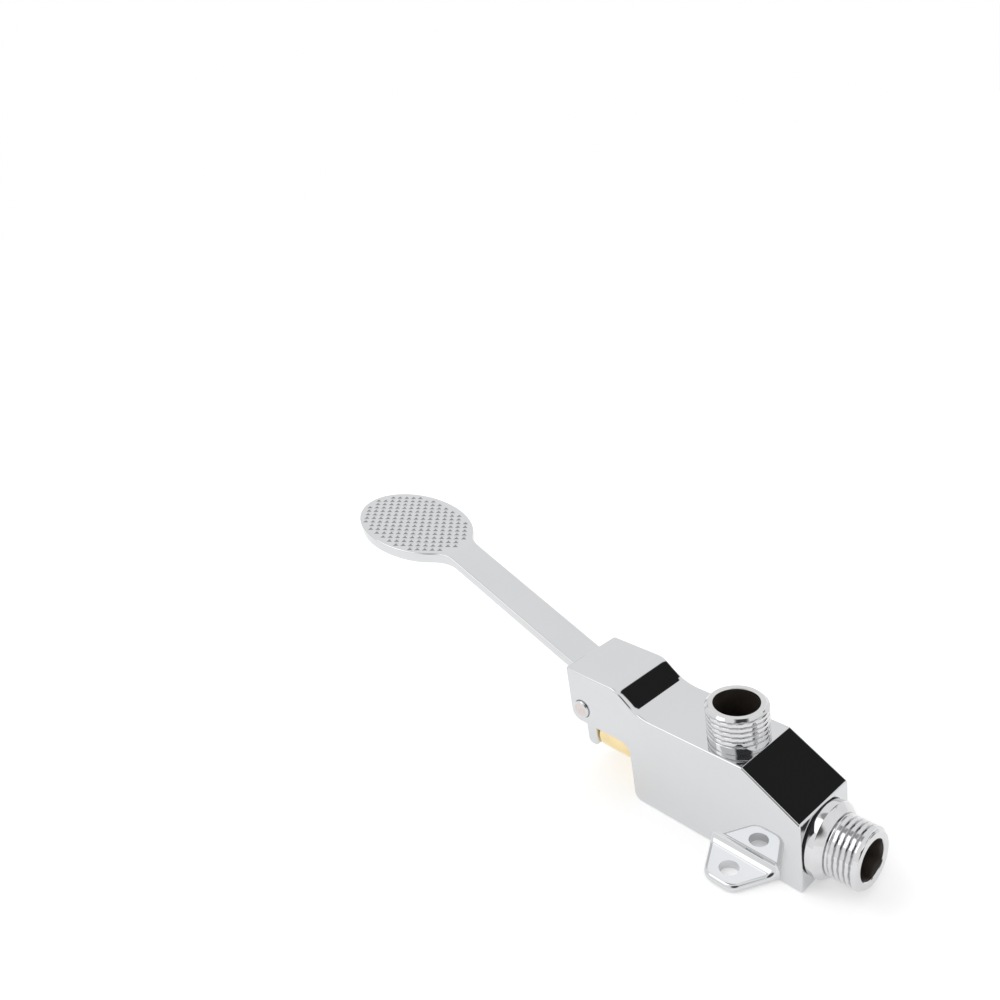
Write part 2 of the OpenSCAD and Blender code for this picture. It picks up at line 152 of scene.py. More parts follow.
# Tread studs: spacing along and across, half a diagonal at the foot and at the tip, height, depth sunk, edge
TREAD_STEP_L = 2.5
TREAD_STEP_W = 2.26
TREAD_HALF = 1.8
TREAD_TIP = 0.07
TREAD_H = 0.4
TREAD_SINK = 0.1
TREAD_EDGE = 2.2

# Threads. The crest and the flank are shares of half the pitch, and the run-out is in pitches. At the end come
# the depth of the slanted cut, the gap from the thread to the end face, and that face's distance from the crests
THREAD_R = 10.4775
THREAD_PITCH = 1.814
THREAD_DEPTH = 0.9
THREAD_CREST = 0.56
THREAD_FLANK = 0.38
RUN_OUT_START = 0.15
RUN_OUT_LEN = 0.6
END_CUT = 1.0
END_LIP = 0.15
END_FACE_IN = 1.05

# Nipple
SPIGOT_X = 12.5
POCKET_X = 24.5
COLLAR_X = 22.0
THREAD_X = 26.8
NIPPLE_END_X = 37.3
SPIGOT_R = 9.35
POCKET_R = 7.0
WATERWAY_R = 5.0
COLLAR_R = 13.0
COLLAR_BEVEL_L = 2.3
COLLAR_BEVEL_R = 1.9
HEX_HALF = 6.0
HEX_CORNER_R = HEX_HALF * 1.13
HEX_DEPTH = 8.0
MOUTH_R = 6.9
MOUTH_L = 1.6
MOUTH_LIP = 0.3

# Plunger, and the spring with the share by which its end turns lie closer
STEM_R = 7.0
NECK_R = 3.5
TAIL_R = 2.5
TIP_R = 2.0
GROOVE_PLAY = 0.2
WIRE_R = 0.6
COIL_R = 5.9
COIL_TURNS = 6.5
END_EASE = 0.035

# Radius of the hole along the axis of a turned form that runs to its middle
AXIS_R = 0.05


# Mesh helpers

def mesh_object(name, verts, faces):
    """A mesh object from millimetre vertices, with its normals made consistent."""
    me = bpy.data.meshes.new(name)
    me.from_pydata([tuple(c * MM for c in v) for v in verts], [], faces)
    bm = bmesh.new()
    bm.from_mesh(me)
    bmesh.ops.remove_doubles(bm, verts=bm.verts, dist=1e-7)
    bmesh.ops.recalc_face_normals(bm, faces=bm.faces)
    bm.to_mesh(me)
    bm.free()
    ob = bpy.data.objects.new(name, me)
    scene.collection.objects.link(ob)
    return ob


def rounded(corners, steps=12):
    """Outline points of [u, v, radius] corners, each corner rounded by an arc."""
    pts, n = [], len(corners)
    for i, (x, y, r) in enumerate(corners):
        p = Vector((x, y))
        if r <= 0:
            pts.append((x, y))
            continue
        u = (Vector(corners[i - 1][:2]) - p).normalized()
        v = (Vector(corners[(i + 1) % n][:2]) - p).normalized()
        half = u.angle(v) / 2
        centre = p + (u + v).normalized() * r / math.sin(half)
        start = p + u * r / math.tan(half) - centre
        sweep = (math.pi - 2 * half) * (-1 if u.x * v.y - u.y * v.x > 0 else 1)
        for k in range(steps + 1):
            a = sweep * k / steps
            pts.append((centre.x + start.x * math.cos(a) - start.y * math.sin(a),
                        centre.y + start.x * math.sin(a) + start.y * math.cos(a)))
    return pts


def prism(name, outline, lo, hi, place):
    """A closed prism: place(u, v, w) gives the vertex at outline point (u, v) and height w."""
    n = len(outline)
    verts = [place(u, v, lo) for u, v in outline] + [place(u, v, hi) for u, v in outline]
    faces = [tuple(range(n)), tuple(range(n, 2 * n))]
    faces += [(i, (i + 1) % n, n + (i + 1) % n, n + i) for i in range(n)]
    return mesh_object(name, verts, faces)


def side_view(u, v, w):
    return (u, w, v)


def plan_view(u, v, w):
    return (u, v, w)


def end_view(u, v, w):
    return (w, u, v)


def arm_point(s, n):
    """The side view of a point s along the resting arm and n above the pivot."""
    c, t = math.cos(ARM_ANGLE), math.sin(ARM_ANGLE)
    return (PIN_X - s * c + n * t, PIN_Z + s * t + n * c)


def pad_point(s, n):
    """The side view of a point s along the pad from its bend and n above its top."""
    x, z = arm_point(ARM_LEN, ARM_TOP)
    c, t = math.cos(PAD_ANGLE), math.sin(PAD_ANGLE)
    return (x - s * c + n * t, z + s * t + n * c)


def lathe(name, rings, place, sides=128):
    """A closed turned form. Each ring is (along, radius), and the radius may be a function of the angle."""
    verts = []
    for along, radius in rings:
        for k in range(sides):
            a = 2 * math.pi * k / sides
            r = radius(a) if callable(radius) else radius
            verts.append(place(along, r * math.cos(a), r * math.sin(a)))
    m = len(rings)
    faces = [(i * sides + k, i * sides + (k + 1) % sides,
              (i + 1) % m * sides + (k + 1) % sides, (i + 1) % m * sides + k)
             for i in range(m) for k in range(sides)]
    return mesh_object(name, verts, faces)


def apply_modifiers(ob):
    """Replaces a piece's mesh by what its modifiers make of it."""
    dg = bpy.context.evaluated_depsgraph_get()
    me = bpy.data.meshes.new_from_object(ob.evaluated_get(dg), depsgraph=dg)
    old = ob.data
    ob.modifiers.clear()
    ob.data = me
    me.name = ob.name
    bpy.data.meshes.remove(old)
    return ob


def bevel(ob, width, segments=3, angle=45):
    """Rounds all edges that are sharper than an angle."""
    m = ob.modifiers.new("edge", "BEVEL")
    m.width, m.segments, m.limit_method = width * MM, segments, "ANGLE"
    m.angle_limit = math.radians(angle)
    m.use_clamp_overlap = False
    return apply_modifiers(ob)


def round_edges(ob, width, where, segments=5, angle=50):
    """Rounds the sharp edges whose middles pass a test."""
    bm = bmesh.new()
    bm.from_mesh(ob.data)
    edges = [e for e in bm.edges if e.calc_face_angle(0) > math.radians(angle)
             and where((e.verts[0].co + e.verts[1].co) / (2 * MM))]
    bmesh.ops.bevel(bm, geom=edges, offset=width * MM, offset_type="OFFSET", segments=segments, profile=0.5,
                    affect="EDGES", clamp_overlap=False)
    bm.to_mesh(ob.data)
    bm.free()
    return ob


def boolean(ob, other, operation):
    """Joins a piece with another one, or cuts it by that one, and deletes the other."""
    m = ob.modifiers.new("cut", "BOOLEAN")
    m.object, m.operation, m.solver = other, operation, "EXACT"
    apply_modifiers(ob)
    bpy.data.objects.remove(other)
    return ob


def smooth(ob, angle=32):
    """Smooth shading that keeps flat faces flat and sharp edges sharp."""
    ob.data.shade_smooth()
    ob.data.set_sharp_from_angle(angle=math.radians(angle))
    m = ob.modifiers.new("normals", "WEIGHTED_NORMAL")
    m.keep_sharp, m.weight = True, 60
    return ob


def cylinder(name, place, r, lo, hi, sides=96):
    angles = [2 * math.pi * k / sides for k in range(sides)]
    outline = [(r * math.cos(a), r * math.sin(a)) for a in angles]
    return prism(name, outline, lo, hi, place)


def along_x(x, u, v):
    """A point of a form turned about the valve's axis."""
    return (x, u, AXIS_H + v)


def bar_x(name, r, lo, hi):
    """A cylinder on the valve's axis."""
    return cylinder(name, lambda u, v, w: (w, u, AXIS_H + v), r, lo, hi)


def bar_y(name, r):
    """A cylinder on the pivot's axis, right across the part."""
    return cylinder(name, lambda u, v, w: (PIN_X + u, w, PIN_Z + v), r, -CUT_HALF, CUT_HALF)


def thread_radius(along, start, end):
    """Radius of a right-hand thread at a place along its axis, as a function of the angle.

    The groove runs out towards the start, and the end is cut at a slant.
    """
    def radius(a):
        phase = ((along - start) / THREAD_PITCH - a / (2 * math.pi)) % 1.0
        tri = abs(2 * phase - 1)
        depth = min(1.0, max(0.0, (tri - THREAD_CREST) / THREAD_FLANK))
        run_out = along - start - RUN_OUT_START * THREAD_PITCH
        fade = min(1.0, max(0.0, run_out / (RUN_OUT_LEN * THREAD_PITCH)))
        r = THREAD_R - THREAD_DEPTH * depth * fade
        return min(r, THREAD_R - END_CUT + max(0.0, end - along))
    return radius


def thread_rings(start, end, step=THREAD_PITCH / 18):
    """The rings of a thread for lathe(), about a step apart."""
    count = round((end - start) / step)
    places = [start + (end - start) * i / count for i in range(count + 1)]
    return [(place, thread_radius(place, start, end)) for place in places]


# Materials

def material(name, colour, metallic, roughness, spread, scale, bump=0.0, bump_scale=400.0, mottle=0.03):
    """A base material with a slight mottle in colour and roughness and an optional fine bump."""
    mat = bpy.data.materials.new(name)
    mat.use_nodes = True
    nt = mat.node_tree
    bsdf = nt.nodes["Principled BSDF"]
    bsdf.inputs["Metallic"].default_value = metallic
    coord = nt.nodes.new("ShaderNodeTexCoord")
    noise = nt.nodes.new("ShaderNodeTexNoise")
    noise.inputs["Scale"].default_value = scale
    noise.inputs["Detail"].default_value = 4
    nt.links.new(coord.outputs["Object"], noise.inputs["Vector"])
    rough = nt.nodes.new("ShaderNodeMapRange")
    rough.inputs["To Min"].default_value = max(0.0, roughness - spread)
    rough.inputs["To Max"].default_value = roughness + spread
    nt.links.new(noise.outputs["Fac"], rough.inputs["Value"])
    nt.links.new(rough.outputs["Result"], bsdf.inputs["Roughness"])
    ramp = nt.nodes.new("ShaderNodeValToRGB")
    ramp.color_ramp.elements[0].position = 0.3
    ramp.color_ramp.elements[1].position = 0.7
    ramp.color_ramp.elements[0].color = (*[c * (1 - mottle) for c in colour], 1)
    ramp.color_ramp.elements[1].color = (*[min(1, c * (1 + mottle)) for c in colour], 1)
    nt.links.new(noise.outputs["Fac"], ramp.inputs["Fac"])
    nt.links.new(ramp.outputs["Color"], bsdf.inputs["Base Color"])
    if bump > 0:
        fine = nt.nodes.new("ShaderNodeTexNoise")
        fine.inputs["Scale"].default_value = bump_scale
        nt.links.new(coord.outputs["Object"], fine.inputs["Vector"])
        node = nt.nodes.new("ShaderNodeBump")
        node.inputs["Strength"].default_value = bump
        node.inputs["Distance"].default_value = 0.0002
        nt.links.new(fine.outputs["Fac"], node.inputs["Height"])
        nt.links.new(node.outputs["Normal"], bsdf.inputs["Normal"])
    return mat


def turned(mat, axis, lines=5200.0, strength=0.12):
    """Adds fine lathe lines across an axis to a material's bump."""
    nt = mat.node_tree
    bsdf = nt.nodes["Principled BSDF"]
    coord = nt.nodes.new("ShaderNodeTexCoord")
    split = nt.nodes.new("ShaderNodeSeparateXYZ")
    nt.links.new(coord.outputs["Object"], split.inputs[0])
    wave = nt.nodes.new("ShaderNodeTexNoise")
    wave.noise_dimensions = "1D"
    wave.inputs["Scale"].default_value = lines
    nt.links.new(split.outputs[axis], wave.inputs["W"])
    node = nt.nodes.new("ShaderNodeBump")
    node.inputs["Strength"].default_value = strength
    node.inputs["Distance"].default_value = 0.0001
    nt.links.new(wave.outputs["Fac"], node.inputs["Height"])
    nt.links.new(node.outputs["Normal"], bsdf.inputs["Normal"])
    return mat


CHROME = material("chrome_polished", (0.655, 0.662, 0.672), 1.0, roughness=0.045, spread=0.015, scale=35.0,
                  bump=0.03, bump_scale=90.0, mottle=0.012)
CHROME_THREAD = material("chrome_thread", (0.66, 0.662, 0.67), 1.0, roughness=0.06, spread=0.03, scale=200.0,
                         bump=0.05, bump_scale=900.0)
CHROME_TREAD = material("chrome_tread", (0.655, 0.662, 0.672), 1.0, roughness=0.14, spread=0.04, scale=200.0,
                        bump=0.05, bump_scale=900.0)
# Unplated lining inside the outlet bore and the nipple's socket and waterway. Its brownish tint is the lining's
# own, but the near-black, dull colour is painted shade for the inside of the bores
BORE_LINING_SHADE = material("bore_lining_painted_shade", (0.045, 0.036, 0.03), 0.2, roughness=0.5, spread=0.08, scale=150.0,
                bump=0.2, bump_scale=500.0, mottle=0.2)
BRASS = turned(material("brass_turned", (0.86, 0.70, 0.40), 1.0, roughness=0.2, spread=0.05, scale=120.0,
                        mottle=0.05), axis=0)
STEEL = material("steel_drawn", (0.56, 0.55, 0.54), 1.0, roughness=0.28, spread=0.05, scale=300.0,
                 bump=0.05, bump_scale=900.0, mottle=0.05)
PIN_STEEL = turned(material("pin_steel", (0.66, 0.60, 0.58), 1.0, roughness=0.32, spread=0.06, scale=400.0,
                            mottle=0.05), axis=1, lines=3800.0, strength=0.1)
RUBBER = material("rubber_black", (0.016, 0.016, 0.017), 0.0, roughness=0.62, spread=0.08, scale=300.0,
                  bump=0.25, bump_scale=1800.0, mottle=0.15)
ACETAL = material("acetal_cream", (0.78, 0.74, 0.64), 0.0, roughness=0.4, spread=0.06, scale=200.0,
                  bump=0.08, bump_scale=900.0, mottle=0.04)


def paint(ob, where):
    """Gives a piece's second material to the faces whose centre and normal pass a test."""
    for face in ob.data.polygons:
        if where(face.center / MM, face.normal):
            face.material_index = 1
    return ob


def dress(ob, *mats):
    """Gives a piece its materials."""
    ob.data.materials.clear()
    for m in mats:
        ob.data.materials.append(m)
    return ob


# Body

def slice_mesh(bm, axis, place):
    """Slices a mesh with the plane at a place along an axis."""
    co, no = Vector(), Vector()
    co[axis], no[axis] = place * MM, 1
    parts = bm.verts[:] + bm.edges[:] + bm.faces[:]
    bmesh.ops.bisect_plane(bm, geom=parts, dist=1e-7, plane_co=co, plane_no=no)


def shape_shell(ob, steps=8, side_steps=4):
    """Rounds the fork's two front corners in plan and lets the ramp fall off softly to both sides."""
    half, r = BODY_W / 2, FORK_CORNER_R
    ramp_mid = (RAMP_TOP_X + RAMP_FOOT_X) / 2
    bm = bmesh.new()
    bm.from_mesh(ob.data)
    for k in range(1, steps + 1):
        slice_mesh(bm, 0, FORK_X + r * (1 - math.cos(math.pi / 2 * k / steps)))
    for k in range(1, side_steps + 1):
        slice_mesh(bm, 1, half - RAMP_SIDE * k / side_steps)
        slice_mesh(bm, 1, RAMP_SIDE * k / side_steps - half)
    for k in range(-steps, steps + 1):
        slice_mesh(bm, 0, ramp_mid + RAMP_REACH * k / steps)
    for v in bm.verts:
        x, y, z = v.co / MM
        side = max(0.0, 1 - (half - abs(y)) / RAMP_SIDE)
        along = min(1.0, abs(x - ramp_mid) / RAMP_REACH)
        if z > CHEEK_UNDER:
            v.co.z -= RAMP_FALL * side ** 2 * (1 + math.cos(math.pi * along)) / 2 * MM
        ahead = max(0.0, r - (x - FORK_X))
        v.co.y *= 1 - (r - math.sqrt(max(0.0, r * r - ahead * ahead))) / half
    bm.to_mesh(ob.data)
    bm.free()
    return ob


def make_body():
    """The body's block with its fork, slot, pin hole, stem guide, port, chamber and outlet bore."""
    outline = rounded([
        (HEEL_X, 0, HEEL_R), (HEEL_X, CHEEK_UNDER, CHEEK_ROOT_R), (FORK_X, CHEEK_UNDER, CHEEK_R),
        (FORK_X, FORK_H, 0), (RAMP_TOP_X, FORK_H, RAMP_TOP_R), (RAMP_FOOT_X, DECK_H, RAMP_FOOT_R),
        (CHAMFER_X, DECK_H, CHAMFER_R), (INLET_X, END_H, 0), (INLET_X, 0, 0)])
    body = shape_shell(bevel(prism("valve_shell", outline, -BODY_W / 2, BODY_W / 2, side_view), EDGE_R))

    def roof(x):
        return PIN_Z + (ARM_TOP + ROOF_GAP) / math.cos(ARM_ANGLE) - (x - PIN_X) * math.tan(ARM_ANGLE)
    front = FORK_X - OVERCUT
    slot = [(front, -OVERCUT), (front, roof(front)), (SLOT_BACK_X, roof(SLOT_BACK_X)),
            (SLOT_BACK_X, -OVERCUT)]
    boolean(body, prism("slot", slot, -SLOT_HALF, SLOT_HALF, side_view), "DIFFERENCE")
    boolean(body, bar_y("pin_hole", PIN_R + PIN_HOLE_GAP), "DIFFERENCE")
    boolean(body, bar_x("guide", GUIDE_R, HEEL_X - OVERCUT, GUIDE_END_X + OVERCUT / 2), "DIFFERENCE")
    boolean(body, bar_x("port", PORT_R, GUIDE_END_X, SEAT_X + OVERCUT / 4), "DIFFERENCE")
    boolean(body, bar_x("chamber", CHAMBER_R, SEAT_X, INLET_X + OVERCUT), "DIFFERENCE")
    bore = cylinder("bore", lambda u, v, w: (OUTLET_X + u, v, w), OUTLET_BORE_R, AXIS_H, CUT_TOP)
    boolean(body, bore, "DIFFERENCE")
    return body


def make_ear(sign):
    """One floor ear: its plan cut from a section with a fillet up the body's side."""
    side, tip, sink = BODY_W / 2, EAR_TIP_Y, EAR_SINK
    root_half = EAR_ROOT_HALF + sink * (EAR_ROOT_HALF - EAR_TIP_HALF) / (tip - side)
    plan = rounded([(-root_half, side - sink, 0), (-EAR_TIP_HALF, tip, EAR_CORNER_R),
                    (EAR_TIP_HALF, tip, EAR_CORNER_R), (root_half, side - sink, 0)])
    arc = [(side + EAR_FILLET - EAR_FILLET * math.sin(a), EAR_T + EAR_FILLET - EAR_FILLET * math.cos(a))
           for a in [math.pi / 2 * k / 12 for k in range(13)]]
    section = [(side - sink, 0), (tip + OVERCUT, 0), (tip + OVERCUT, EAR_T)] + arc
    section += [(side - sink, EAR_T + EAR_FILLET + 2 * sink)]
    ear = prism("floor_ear", [(sign * u, v) for u, v in section], -CUT_HALF, CUT_HALF, end_view)
    cut = prism("plan", [(u, sign * v) for u, v in plan], -OVERCUT / 2, EAR_CUT_TOP, plan_view)
    boolean(ear, cut, "INTERSECT")
    round_edges(ear, EAR_EDGE_R, lambda c: abs(c.y) > side)
    hole = cylinder("hole", lambda u, v, w: (u, sign * SCREW_Y + v, w), SCREW_R, -OVERCUT, EAR_CUT_TOP)
    boolean(ear, hole, "DIFFERENCE")
    ear.name = "floor_ear_left" if sign < 0 else "floor_ear_right"
    return ear


def make_outlet():
    """The threaded outlet stub, sunk a little into the deck."""
    sink, neck_in, neck_end, bevel_end, thread_start = 0.4, 0.25, 0.5, 0.75, 1.1
    top = OUTLET_TOP
    rings = [(DECK_H - sink, OUTLET_BORE_R), (DECK_H - sink, THREAD_R - neck_in),
             (DECK_H + neck_end, THREAD_R - neck_in), (DECK_H + bevel_end, THREAD_R)]
    rings += thread_rings(DECK_H + thread_start, top - END_LIP)
    rings += [(top, THREAD_R - END_FACE_IN), (top, OUTLET_BORE_R + 0.45), (top - 0.12, OUTLET_BORE_R + 0.18),
              (top - 0.5, OUTLET_BORE_R)]
    return lathe("outlet_stub", rings, lambda z, u, v: (OUTLET_X + u, v, z))


def make_nipple():
    """The inlet nipple: spigot, collar, thread, hexagon socket, waterway and spring pocket."""
    def hexagon(a):
        b = (a + math.pi / 6) % (math.pi / 3) - math.pi / 6
        return min(HEX_HALF / math.cos(b), HEX_CORNER_R)
    end, bevel_x = NIPPLE_END_X, THREAD_X - COLLAR_BEVEL_L
    rings = [(SPIGOT_X, POCKET_R), (SPIGOT_X, SPIGOT_R - 0.5), (SPIGOT_X + 0.5, SPIGOT_R),
             (COLLAR_X, SPIGOT_R), (COLLAR_X, COLLAR_R - 0.3), (COLLAR_X + 0.1, COLLAR_R - 0.08),
             (COLLAR_X + 0.35, COLLAR_R),
             (bevel_x - 0.2, COLLAR_R), (bevel_x + 0.1, COLLAR_R - 0.1),
             (THREAD_X - 0.3, COLLAR_R - COLLAR_BEVEL_R), (THREAD_X, COLLAR_R - COLLAR_BEVEL_R - 0.35),
             (THREAD_X, THREAD_R - 0.5)]
    rings += thread_rings(THREAD_X + 0.5, end - END_LIP)
    rings += [(end, THREAD_R - END_FACE_IN), (end, MOUTH_R + MOUTH_LIP), (end - MOUTH_LIP, MOUTH_R),
              (end - MOUTH_L, hexagon), (end - HEX_DEPTH, hexagon), (end - HEX_DEPTH, WATERWAY_R),
              (POCKET_X, WATERWAY_R), (POCKET_X, POCKET_R)]
    return lathe("inlet_union", rings, along_x, 144)


# Pedal

def oval(a, b, t):
    """A point of an oval in plan about the pad's centre; t is 0 at its end nearest the fork."""
    centre = pad_point(PAD_ROOT + PAD_L / 2, 0)[0]
    return (centre + a * math.cos(t), b * math.sin(t))


def plate_plan():
    """The plan of the arm and the pad: the arm's sides flare into the oval in tangent arcs."""
    a, b = PAD_L / 2 * math.cos(PAD_ANGLE), PAD_W / 2
    touch = Vector(oval(a, b, FLARE_TURN))
    outward = Vector((b * math.cos(FLARE_TURN), a * math.sin(FLARE_TURN))).normalized()
    r = (touch.y - ARM_PAD_HALF) / (1 - outward.y)
    centre = touch + r * outward
    last = math.acos(outward.y)
    side = [(PIN_X + ARM_TOP, ARM_FORK_HALF)]
    turns = [last * k / 16 for k in range(17)]
    side += [(centre.x - r * math.sin(t), centre.y - r * math.cos(t)) for t in turns]
    side += [oval(a, b, FLARE_TURN + (math.pi - FLARE_TURN) * k / 72) for k in range(1, 72)]
    return side + [oval(a, b, math.pi)] + [(x, -y) for x, y in reversed(side)]


def make_lever():
    """The lever: arm and pad cut from a bent plate, hollow under the pad, with the hub and the leg."""
    end, turn = PAD_ROOT + PAD_L + 1, ARM_ANGLE - PAD_ANGLE
    under = (PAD_T - ARM_T / math.cos(turn)) / math.tan(turn)
    corners = [(arm_point(0, ARM_TOP), 0), (arm_point(ARM_LEN, ARM_TOP), BEND_R), (pad_point(end, 0), 0),
               (pad_point(end, -PAD_T), 0), (pad_point(-under, -PAD_T), BEND_UNDER_R),
               (arm_point(0, ARM_TOP - ARM_T), 0)]
    plate = prism("pedal_plate", rounded([(*p, r) for p, r in corners]), -PAD_W, PAD_W, side_view)
    boolean(plate, prism("plan", plate_plan(), 0, PLAN_TOP, plan_view), "INTERSECT")
    web = [pad_point(0, -PAD_WEB), pad_point(end, -PAD_WEB), pad_point(end, -RECESS_CUT),
           pad_point(0, -RECESS_CUT)]
    recess = prism("recess", web, -PAD_W, PAD_W, side_view)
    a, b = PAD_L / 2 * math.cos(PAD_ANGLE) - RIM_W, PAD_W / 2 - RIM_W
    inner = [oval(a, b, 2 * math.pi * k / 144) for k in range(144)]
    boolean(recess, prism("inner", inner, 0, PLAN_TOP, plan_view), "INTERSECT")
    boolean(plate, recess, "DIFFERENCE")
    bevel(plate, PLATE_EDGE_R, 3, 50)
    mid = ARM_TOP - ARM_T / 2
    foot = math.asin(LEG_FACE / EYE_R)
    leg_x = PIN_X - LEG_FACE
    turns = [math.pi / 4 - (math.radians(135) + foot) * k / 24 for k in range(25)]
    eye = [(PIN_X + EYE_R * math.cos(t), PIN_Z + EYE_R * math.sin(t)) for t in turns]
    leg_top = PIN_Z + mid / math.cos(ARM_ANGLE) + (LEG_FACE + LEG_T) * math.tan(ARM_ANGLE)
    hub = rounded([(leg_x, PIN_Z - LEG_LEN, NOSE_R), (leg_x - LEG_T, PIN_Z - LEG_LEN, NOSE_R),
                   (leg_x - LEG_T, leg_top, 0), (*arm_point(0, mid), 0)])
    hub = bevel(prism("hub", hub + eye, -HUB_HALF, HUB_HALF, side_view), HUB_EDGE_R, 2, 50)
    boolean(plate, hub, "UNION")
    boolean(plate, bar_y("hole", BUSH_R), "DIFFERENCE")
    return plate


def make_tread():
    """Rows of pyramid studs in a diamond lattice over the pad's top."""
    tip, sink = TREAD_TIP, TREAD_SINK
    root = TREAD_HALF + sink * (TREAD_HALF - tip) / TREAD_H
    rows = math.ceil(PAD_L / 2 / TREAD_STEP_L)
    diamond = [(-1, 0), (0, -1), (1, 0), (0, 1)]
    verts, faces = [], []
    for i in range(-rows, rows + 1):
        for j in range(-rows, rows + 1):
            s, y = i * TREAD_STEP_L, j * TREAD_STEP_W
            if (i + j) % 2 or math.hypot(s / (PAD_L / 2 - TREAD_EDGE), y / (PAD_W / 2 - TREAD_EDGE)) >= 1:
                continue
            first = len(verts)
            for half, n in ((root, -sink), (tip, TREAD_H)):
                for u, v in diamond:
                    x, z = pad_point(PAD_ROOT + PAD_L / 2 + s + u * half, n)
                    verts.append((x, y + v * half, z))
            faces += [tuple(first + k for k in (0, 3, 2, 1)), tuple(first + k for k in (4, 5, 6, 7))]
            faces += [tuple(first + k for k in (m, (m + 1) % 4, 4 + (m + 1) % 4, 4 + m)) for m in range(4)]
    return mesh_object("pedal_tread", verts, faces)


def make_pin():
    """The pivot pin, with rounded rims and low domed ends that carry a small centre mark."""
    end = BODY_W / 2 + PIN_PROUD
    # Half of the profile, each point a place along Y and a radius, from the shank to the centre mark
    half = [(end - 1.3, PIN_R), (end - 0.9, PIN_R), (end - 0.6, PIN_R - 0.1), (end - 0.36, PIN_R - 0.3),
            (end - 0.2, PIN_R - 0.55), (end - 0.15, PIN_R - PIN_RIM), (end - 0.05, 1.2), (end, 0.62),
            (end - 0.25, 0.4), (end - 0.45, AXIS_R)]
    rings = [(-y, r) for y, r in reversed(half)] + half
    return lathe("pivot_pin_turned", rings, lambda y, u, v: (PIN_X + u, y, PIN_Z + v), 64)


def make_spring():
    """The return spring, a round wire whose end turns lie closer, as long as its CAD solid."""
    lo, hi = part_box("return_spring")
    per_turn, sides = 32, 12
    x0, x1 = lo.x / MM + WIRE_R, hi.x / MM - WIRE_R
    count = int(COIL_TURNS * per_turn)
    verts, faces = [], []
    for i in range(count + 1):
        t = i / count
        a = 2 * math.pi * COIL_TURNS * t
        ease = t - END_EASE * math.sin(2 * math.pi * t)
        x = x0 + (x1 - x0) * ease
        for k in range(sides):
            b = 2 * math.pi * k / sides
            r = COIL_R + WIRE_R * math.cos(b)
            verts.append((x + WIRE_R * math.sin(b), r * math.cos(a), AXIS_H + r * math.sin(a)))
    for i in range(count):
        for k in range(sides):
            faces.append((i * sides + k, i * sides + (k + 1) % sides,
                          (i + 1) * sides + (k + 1) % sides, (i + 1) * sides + k))
    faces += [tuple(range(sides)), tuple(range(count * sides, (count + 1) * sides))]
    return mesh_object("return_coil", verts, faces)


def make_plunger():
    """The plunger: a rounded tip, the two ring grooves, the neck and the tail, as long as its CAD solid."""
    lo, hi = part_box("plunger")
    tip, end, neck = lo.x / MM, hi.x / MM, GUIDE_END_X - 0.1
    turns = [math.pi / 2 * k / 8 for k in range(9)]
    rings = [(tip, AXIS_R)]
    rings += [(tip + TIP_R * (1 - math.cos(a)), STEM_R - TIP_R * (1 - math.sin(a))) for a in turns]
    seals = [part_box(name) for name in ("o_ring_front", "o_ring_rear")]
    for first, last in sorted(seals, key=lambda box: box[0].x):
        front, back = first.x / MM - GROOVE_PLAY, last.x / MM + GROOVE_PLAY
        floor = STEM_R - (last.x - first.x) / MM
        rings += [(front, STEM_R), (front, floor), (back, floor), (back, STEM_R)]
    rings += [(neck, STEM_R), (neck, NECK_R), (SEAT_X, NECK_R), (SEAT_X, TAIL_R), (end, TAIL_R),
              (end, AXIS_R)]
    return lathe("plunger_turned", rings, along_x, 96)


# Tests for paint(), each of a face's centre and normal

# Faces inside the outlet bore, in the body and in the stub. They get the lining material with the painted shade
def in_outlet(c, n):
    slack = 0.05
    return abs(n.z) < 0.5 and math.hypot(c.x - OUTLET_X, c.y) < OUTLET_BORE_R + slack and c.z > AXIS_H


# Faces inside the nipple's mouth, hexagon socket and waterway. They get the lining material with the painted
# shade
def in_nipple(c, n):
    return abs(n.x) < 0.9 and math.hypot(c.y, c.z - AXIS_H) < MOUTH_R and c.x < NIPPLE_END_X - MOUTH_LIP


def on_pin_end(c, n):
    return abs(n.y) > 0.7 and math.hypot(c.x - PIN_X, c.z - PIN_Z) < PIN_R - PIN_RIM


# Pieces: their looks, the bodies they ride and the CAD nodes they stand for

body = smooth(paint(dress(make_body(), CHROME, BORE_LINING_SHADE), in_outlet))
ears = [smooth(dress(make_ear(s), CHROME)) for s in (-1, 1)]
outlet = smooth(paint(dress(make_outlet(), CHROME_THREAD, BORE_LINING_SHADE), in_outlet), 40)
nipple = smooth(paint(dress(make_nipple(), CHROME_THREAD, BORE_LINING_SHADE), in_nipple), 40)
for piece in [body, outlet, *ears]:
    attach(piece, "valve")
    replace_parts(piece, "valve_body")
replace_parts(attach(nipple, "valve"), "inlet_nipple")

lever = smooth(dress(make_lever(), CHROME))
tread = dress(make_tread(), CHROME_TREAD)
for piece in [lever, tread]:
    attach(piece, "pedal")
    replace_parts(piece, "pedal_lever")

pin = smooth(paint(dress(make_pin(), CHROME, PIN_STEEL), on_pin_end), 40)
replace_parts(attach(pin, "valve"), "pivot_pin")

plunger = smooth(dress(make_plunger(), BRASS), 40)
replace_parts(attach(plunger, "stem"), "plunger")

coil = dress(make_spring(), STEEL)
coil.data.shade_smooth()
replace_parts(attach(coil, "valve"), "return_spring")
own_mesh(coil)

for name, mat in {"valve_seat": BRASS, "seal_holder": BRASS, "stem_nut": BRASS, "inlet_gasket": RUBBER,
                  "o_ring_front": RUBBER, "o_ring_rear": RUBBER, "seal_washer": RUBBER,
                  "lock_washer": STEEL, "lever_bush": ACETAL}.items():
    dress(nodes[name], mat)


# Floor, light and camera

